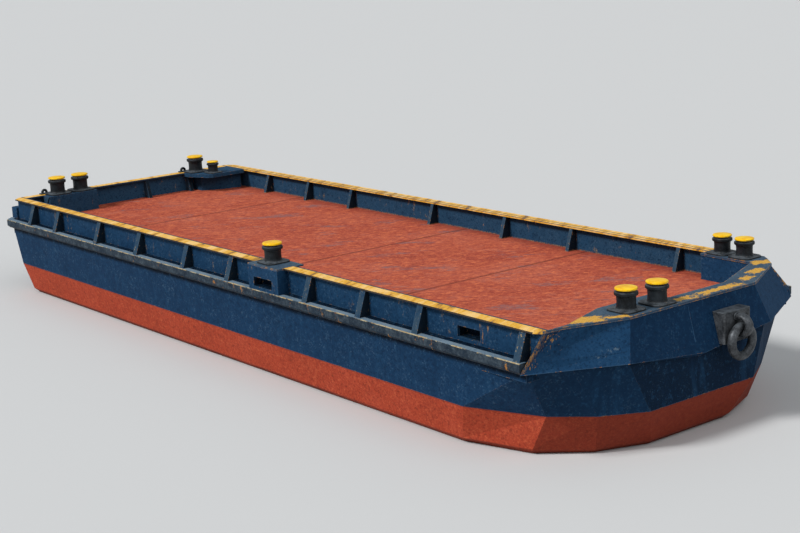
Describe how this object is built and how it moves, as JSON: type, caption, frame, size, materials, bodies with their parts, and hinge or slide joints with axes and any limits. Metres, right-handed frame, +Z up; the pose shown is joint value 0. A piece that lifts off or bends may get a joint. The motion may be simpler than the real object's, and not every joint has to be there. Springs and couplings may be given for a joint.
{
  "type": "river barge",
  "caption": "Flat-bottomed deck barge with a plated cargo deck inside stiffened bulwarks, raised sloping bow, mooring bollards and a tow ring.",
  "frame": {"origin": "on the flat bottom, at the middle of the overall length and of the beam", "axes": "+X to the bow along the length, +Y to port, +Z up"},
  "size_m": [26.8403, 9, 3.6886],
  "materials": {
    "navy_paint": "chipped navy marine paint, satin",
    "red_bottom_paint": "rough red-brown bottom paint",
    "red_deck_paint": "scuffed brick-red deck paint, matt",
    "yellow_paint": "worn ochre-yellow edge paint",
    "worn_blue_paint": "worn blue-grey paint with chipped yellow",
    "black_iron": "black painted castings",
    "yellow_cap_paint": "glossy bright yellow",
    "forged_iron": "dark forged iron with worn highlights"
  },
  "bodies": {
    "barge": {"bollard_bow_port_aft": "black_iron", "bollard_bow_port_forward": "black_iron", "bollard_bow_starboard_inner": "black_iron", "bollard_bow_starboard_outer": "black_iron", "bollard_midships": "black_iron", "bollard_stern_port_large": "black_iron", "bollard_stern_port_small": "black_iron", "bollard_stern_starboard_inner": "black_iron", "bollard_stern_starboard_outer": "black_iron", "bow_bulwark": "navy_paint", "bow_plate": "worn_blue_paint", "bulwark_port_aft": "navy_paint", "bulwark_port_forward": "navy_paint", "bulwark_starboard_aft": "navy_paint", "bulwark_starboard_forward": "navy_paint", "bulwark_stern": "navy_paint", "cap_bow_port_aft": "yellow_cap_paint", "cap_bow_port_forward": "yellow_cap_paint", "cap_bow_starboard_inner": "yellow_cap_paint", "cap_bow_starboard_outer": "yellow_cap_paint", "cap_midships": "yellow_cap_paint", "cap_rail_port": "yellow_paint", "cap_rail_starboard_aft": "yellow_paint", "cap_rail_starboard_forward": "yellow_paint", "cap_rail_stern": "yellow_paint", "cap_stern_port_large": "yellow_cap_paint", "cap_stern_port_small": "yellow_cap_paint", "cap_stern_starboard_inner": "yellow_cap_paint", "cap_stern_starboard_outer": "yellow_cap_paint", "deck_panel_1": "red_deck_paint", "deck_panel_2": "red_deck_paint", "deck_panel_3": "red_deck_paint", "deck_panel_4": "red_deck_paint", "hull_bottom": "red_bottom_paint", "hull_topsides": "navy_paint", "midships_foundation": "navy_paint", "midships_seat_plate": "worn_blue_paint", "mooring_pocket": "navy_paint", "rub_rail_port": "worn_blue_paint", "rub_rail_starboard": "worn_blue_paint", "rub_rail_stern": "worn_blue_paint", "stern_platform_starboard": "navy_paint", "stern_shelf_port": "navy_paint", "tow_bracket": "forged_iron", "tow_eye": "forged_iron"},
    "tow_ring": {"tow_ring": "forged_iron"}
  },
  "joints": [
    {"name": "tow_ring_swing", "type": "hinge", "parent": "barge", "child": "tow_ring", "pos_m": [13.145, 0.93, 2.4106], "axis": [0, -1, 0], "range_deg": [0, 100]}
  ]
}
